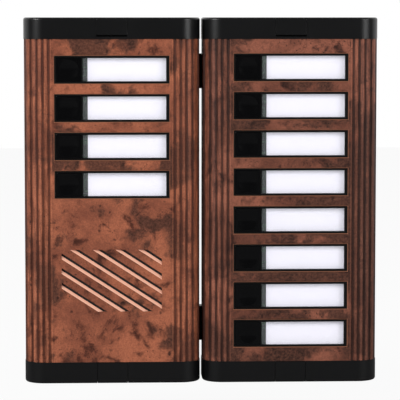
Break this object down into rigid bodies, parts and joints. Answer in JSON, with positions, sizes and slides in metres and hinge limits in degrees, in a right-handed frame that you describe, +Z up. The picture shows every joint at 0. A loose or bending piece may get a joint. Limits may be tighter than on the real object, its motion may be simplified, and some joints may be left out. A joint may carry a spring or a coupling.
{
  "type": "door intercom panel",
  "caption": "Two-module surface door entry panel: fluted copper-print fronts, name windows with call buttons, louvred speech unit, black end caps, linked back boxes.",
  "frame": {"origin": "on the wall plane, midway between the two modules at mid-height, which is the centre of the outer wall-screw pattern", "axes": "+Z up, the front faces -Y and +Y points into the wall, +X towards the right-hand module"},
  "size_m": [0.2326, 0.0423, 0.24],
  "materials": {
    "copper_print": "extruded aluminium with a matt copper and burl print under clear lacquer",
    "black_cap": "moulded black ABS, satin",
    "black_box": "moulded black polycarbonate, fine texture",
    "black_carrier": "moulded black ABS, semi-matt",
    "black_button": "polished black ABS",
    "clear_window": "clear moulded polycarbonate",
    "white_card": "plain white card",
    "zinc_steel": "zinc-plated steel",
    "spring_steel": "bright spring steel",
    "switch_metal": "snap-dome switch in a metal frame",
    "lamp_white": "milky lamp body",
    "green_board": "glass-epoxy circuit board with green solder mask",
    "component_black": "moulded epoxy components",
    "grey_foam": "closed-cell foam",
    "black_rubber": "moulded rubber",
    "ivory_nylon": "ivory nylon",
    "grey_cable": "PVC sheathed cable",
    "grey_chassis": "moulded dark grey ABS",
    "black_felt": "woven acoustic gauze",
    "speaker_paper": "treated paper cone",
    "ferrite": "ferrite magnet with a steel cover",
    "microphone_metal": "aluminium capsule"
  },
  "bodies": {
    "wall_side": {"left_back_box": "black_box", "right_back_box": "black_box", "box_gaskets": "grey_foam", "box_links": "black_box", "terminal_blocks": "ivory_nylon", "terminal_screws": "zinc_steel", "link_cable": "grey_cable", "cable_grommets": "black_rubber"},
    "left_front": {"left_front_profile": "copper_print", "left_top_cap": "black_cap", "left_bottom_cap": "black_cap", "left_screws": "zinc_steel", "left_fixing_screws": "zinc_steel", "left_button_carriers": "black_carrier", "left_name_windows": "clear_window", "left_name_cards": "white_card", "left_return_springs": "spring_steel", "left_contact_board": "green_board", "left_contact_switches": "switch_metal", "left_lamps": "lamp_white", "speech_chassis": "grey_chassis", "grille_membrane": "black_felt", "speaker_gasket": "black_rubber", "speaker_basket": "zinc_steel", "speaker_cone": "speaker_paper", "speaker_magnet": "ferrite", "microphone": "microphone_metal", "microphone_boot": "black_rubber", "speech_board": "green_board", "speech_board_parts": "component_black"},
    "right_front": {"right_front_profile": "copper_print", "right_top_cap": "black_cap", "right_bottom_cap": "black_cap", "right_screws": "zinc_steel", "right_fixing_screws": "zinc_steel", "right_button_carriers": "black_carrier", "right_name_windows": "clear_window", "right_name_cards": "white_card", "right_return_springs": "spring_steel", "right_contact_board": "green_board", "right_contact_switches": "switch_metal", "right_lamps": "lamp_white"},
    "button_01": {"call_button_01": "black_button"},
    "button_02": {"call_button_02": "black_button"},
    "button_03": {"call_button_03": "black_button"},
    "button_04": {"call_button_04": "black_button"},
    "button_05": {"call_button_05": "black_button"},
    "button_06": {"call_button_06": "black_button"},
    "button_07": {"call_button_07": "black_button"},
    "button_08": {"call_button_08": "black_button"},
    "button_09": {"call_button_09": "black_button"},
    "button_10": {"call_button_10": "black_button"},
    "button_11": {"call_button_11": "black_button"},
    "button_12": {"call_button_12": "black_button"},
    "left_top_tab_body": {"left_top_tab": "black_cap"},
    "left_bottom_tab_body": {"left_bottom_tab": "black_cap"},
    "right_top_tab_body": {"right_top_tab": "black_cap"},
    "right_bottom_tab_body": {"right_bottom_tab": "black_cap"},
    "speaker_volume": {"speaker_trimmer": "ivory_nylon"},
    "microphone_volume": {"microphone_trimmer": "ivory_nylon"}
  },
  "joints": [
    {"name": "left_front_lift_off", "type": "slide", "parent": "wall_side", "child": "left_front", "axis": [0, -1, 0], "range_m": [0, 0.06]},
    {"name": "right_front_lift_off", "type": "slide", "parent": "wall_side", "child": "right_front", "axis": [0, -1, 0], "range_m": [0, 0.06]},
    {"name": "call_button_01_press", "type": "slide", "parent": "left_front", "child": "button_01", "axis": [0, 1, 0], "range_m": [0, 0.002], "stiffness_N_per_m": 900, "springref_m": -0.0012, "deforming": ["left_return_springs"]},
    {"name": "call_button_02_press", "type": "slide", "parent": "left_front", "child": "button_02", "axis": [0, 1, 0], "range_m": [0, 0.002], "stiffness_N_per_m": 900, "springref_m": -0.0012, "deforming": ["left_return_springs"]},
    {"name": "call_button_03_press", "type": "slide", "parent": "left_front", "child": "button_03", "axis": [0, 1, 0], "range_m": [0, 0.002], "stiffness_N_per_m": 900, "springref_m": -0.0012, "deforming": ["left_return_springs"]},
    {"name": "call_button_04_press", "type": "slide", "parent": "left_front", "child": "button_04", "axis": [0, 1, 0], "range_m": [0, 0.002], "stiffness_N_per_m": 900, "springref_m": -0.0012, "deforming": ["left_return_springs"]},
    {"name": "call_button_05_press", "type": "slide", "parent": "right_front", "child": "button_05", "axis": [0, 1, 0], "range_m": [0, 0.002], "stiffness_N_per_m": 900, "springref_m": -0.0012, "deforming": ["right_return_springs"]},
    {"name": "call_button_06_press", "type": "slide", "parent": "right_front", "child": "button_06", "axis": [0, 1, 0], "range_m": [0, 0.002], "stiffness_N_per_m": 900, "springref_m": -0.0012, "deforming": ["right_return_springs"]},
    {"name": "call_button_07_press", "type": "slide", "parent": "right_front", "child": "button_07", "axis": [0, 1, 0], "range_m": [0, 0.002], "stiffness_N_per_m": 900, "springref_m": -0.0012, "deforming": ["right_return_springs"]},
    {"name": "call_button_08_press", "type": "slide", "parent": "right_front", "child": "button_08", "axis": [0, 1, 0], "range_m": [0, 0.002], "stiffness_N_per_m": 900, "springref_m": -0.0012, "deforming": ["right_return_springs"]},
    {"name": "call_button_09_press", "type": "slide", "parent": "right_front", "child": "button_09", "axis": [0, 1, 0], "range_m": [0, 0.002], "stiffness_N_per_m": 900, "springref_m": -0.0012, "deforming": ["right_return_springs"]},
    {"name": "call_button_10_press", "type": "slide", "parent": "right_front", "child": "button_10", "axis": [0, 1, 0], "range_m": [0, 0.002], "stiffness_N_per_m": 900, "springref_m": -0.0012, "deforming": ["right_return_springs"]},
    {"name": "call_button_11_press", "type": "slide", "parent": "right_front", "child": "button_11", "axis": [0, 1, 0], "range_m": [0, 0.002], "stiffness_N_per_m": 900, "springref_m": -0.0012, "deforming": ["right_return_springs"]},
    {"name": "call_button_12_press", "type": "slide", "parent": "right_front", "child": "button_12", "axis": [0, 1, 0], "range_m": [0, 0.002], "stiffness_N_per_m": 900, "springref_m": -0.0012, "deforming": ["right_return_springs"]},
    {"name": "left_top_tab_pull", "type": "slide", "parent": "left_front", "child": "left_top_tab_body", "axis": [0, -1, 0], "range_m": [0, 0.008]},
    {"name": "left_bottom_tab_pull", "type": "slide", "parent": "left_front", "child": "left_bottom_tab_body", "axis": [0, -1, 0], "range_m": [0, 0.008]},
    {"name": "right_top_tab_pull", "type": "slide", "parent": "right_front", "child": "right_top_tab_body", "axis": [0, -1, 0], "range_m": [0, 0.008]},
    {"name": "right_bottom_tab_pull", "type": "slide", "parent": "right_front", "child": "right_bottom_tab_body", "axis": [0, -1, 0], "range_m": [0, 0.008]},
    {"name": "speaker_volume_turn", "type": "hinge", "parent": "left_front", "child": "speaker_volume", "pos_m": [-0.0725, -0.02, -0.085], "axis": [0, 1, 0], "range_deg": [-135, 135]},
    {"name": "microphone_volume_turn", "type": "hinge", "parent": "left_front", "child": "microphone_volume", "pos_m": [-0.0725, -0.02, -0.097], "axis": [0, 1, 0], "range_deg": [-135, 135]}
  ]
}
